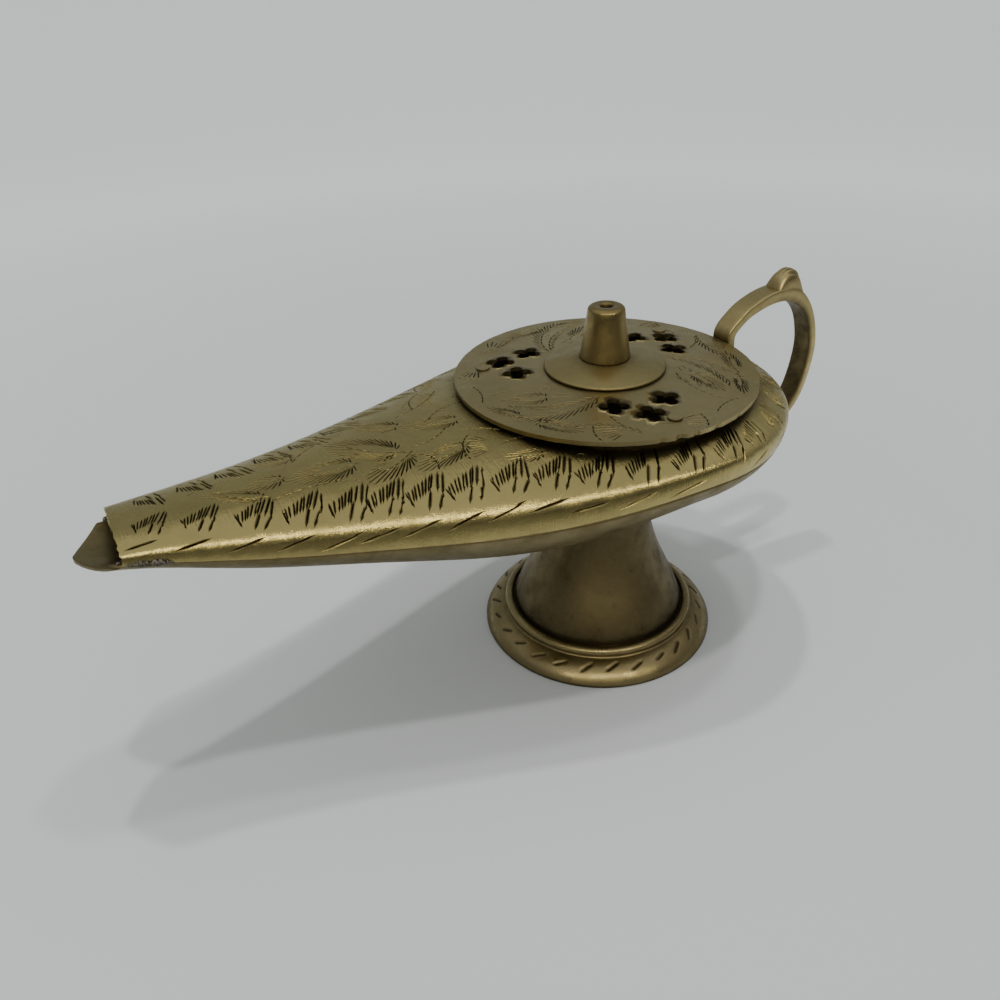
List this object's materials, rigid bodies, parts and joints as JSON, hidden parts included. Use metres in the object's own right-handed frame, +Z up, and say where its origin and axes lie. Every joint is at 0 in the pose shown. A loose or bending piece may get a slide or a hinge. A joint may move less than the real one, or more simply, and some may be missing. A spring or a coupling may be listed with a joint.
{
  "type": "genie oil lamp",
  "caption": "Brass oil lamp with a boat-shaped bowl, long spout, ear handle and pedestal foot, and a round pierced lid with a knob that lifts off and turns.",
  "frame": {"origin": "centre of the ring face that the foot rests on", "axes": "+Z up along the lid's axis, -X towards the spout, +X towards the handle, +Y to the spout's right seen from the handle"},
  "size_m": [0.2271, 0.0988, 0.1075],
  "materials": {
    "shell_brass": "aged, brushed and engraved",
    "lid_brass": "aged, brushed and engraved",
    "foot_brass": "aged, turned",
    "knob_brass": "aged, turned",
    "handle_brass": "aged, filed",
    "solder": "dull grey, cast",
    "fastener_brass": "plain"
  },
  "bodies": {
    "lamp": {"lower_shell": "shell_brass", "upper_shell": "shell_brass", "seam_solder": "solder", "spout_solder_left": "solder", "spout_solder_right": "solder", "pedestal_foot": "foot_brass", "foot_bolt": "fastener_brass", "foot_washer": "fastener_brass", "foot_nut": "fastener_brass", "handle": "handle_brass", "handle_top_solder": "solder", "handle_bottom_solder": "solder"},
    "knob_group": {"knob_plate": "knob_brass", "knob": "knob_brass", "knob_washer": "fastener_brass", "knob_screw": "fastener_brass"},
    "lid_plate": {"lid_disc": "lid_brass", "lid_lug_1": "fastener_brass", "lid_lug_2": "fastener_brass", "lid_lug_3": "fastener_brass", "lug_rivets": "fastener_brass"}
  },
  "joints": [
    {"name": "lid_lift", "type": "slide", "parent": "lamp", "child": "knob_group", "axis": [0, 0, 1], "range_m": [0, 0.04]},
    {"name": "lid_turn", "type": "hinge", "parent": "knob_group", "child": "lid_plate", "pos_m": [0, 0, 0.088], "axis": [0, 0, 1], "continuous": true}
  ]
}
